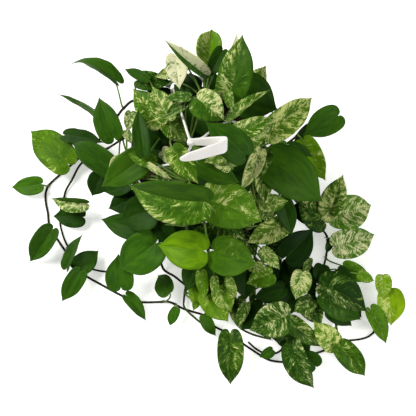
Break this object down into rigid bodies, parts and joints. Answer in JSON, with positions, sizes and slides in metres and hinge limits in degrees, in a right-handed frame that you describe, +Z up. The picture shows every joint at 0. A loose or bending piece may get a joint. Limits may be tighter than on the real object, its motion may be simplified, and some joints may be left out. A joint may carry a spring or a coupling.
{
  "type": "potted marble queen pothos",
  "caption": "Potted marble queen pothos with marbled heart-shaped leaves, vines trailing on the table and a white hook hanger.",
  "frame": {"origin": "centre of the pot's underside, on the surface that it stands on", "axes": "+Z up along the pot's axis, -Y towards the long trailing stems at the front, +X to the right"},
  "size_m": [0.8096, 0.6856, 0.3937],
  "materials": {
    "pot_plastic": "dark moulded plastic, satin",
    "potting_soil": "dark crumbly peat soil",
    "foliage": "waxy green leaf marbled with cream",
    "hanger_plastic": "smooth white moulded plastic"
  },
  "bodies": {
    "root": {"pot": "pot_plastic", "soil": "potting_soil", "vine_outer": "foliage", "vine_left": "foliage", "vine_front_left": "foliage", "vine_young": "foliage", "vine_front": "foliage", "vine_front_right": "foliage", "vine_right": "foliage", "vine_lower_right": "foliage", "vine_back_right": "foliage", "crown_back": "foliage", "crown_left": "foliage", "crown_centre": "foliage", "crown_right": "foliage", "crown_front": "foliage", "hanger_hook": "hanger_plastic", "hanger_strand_back": "hanger_plastic", "hanger_strand_right": "hanger_plastic", "hanger_strand_front": "hanger_plastic"}
  },
  "joints": []
}
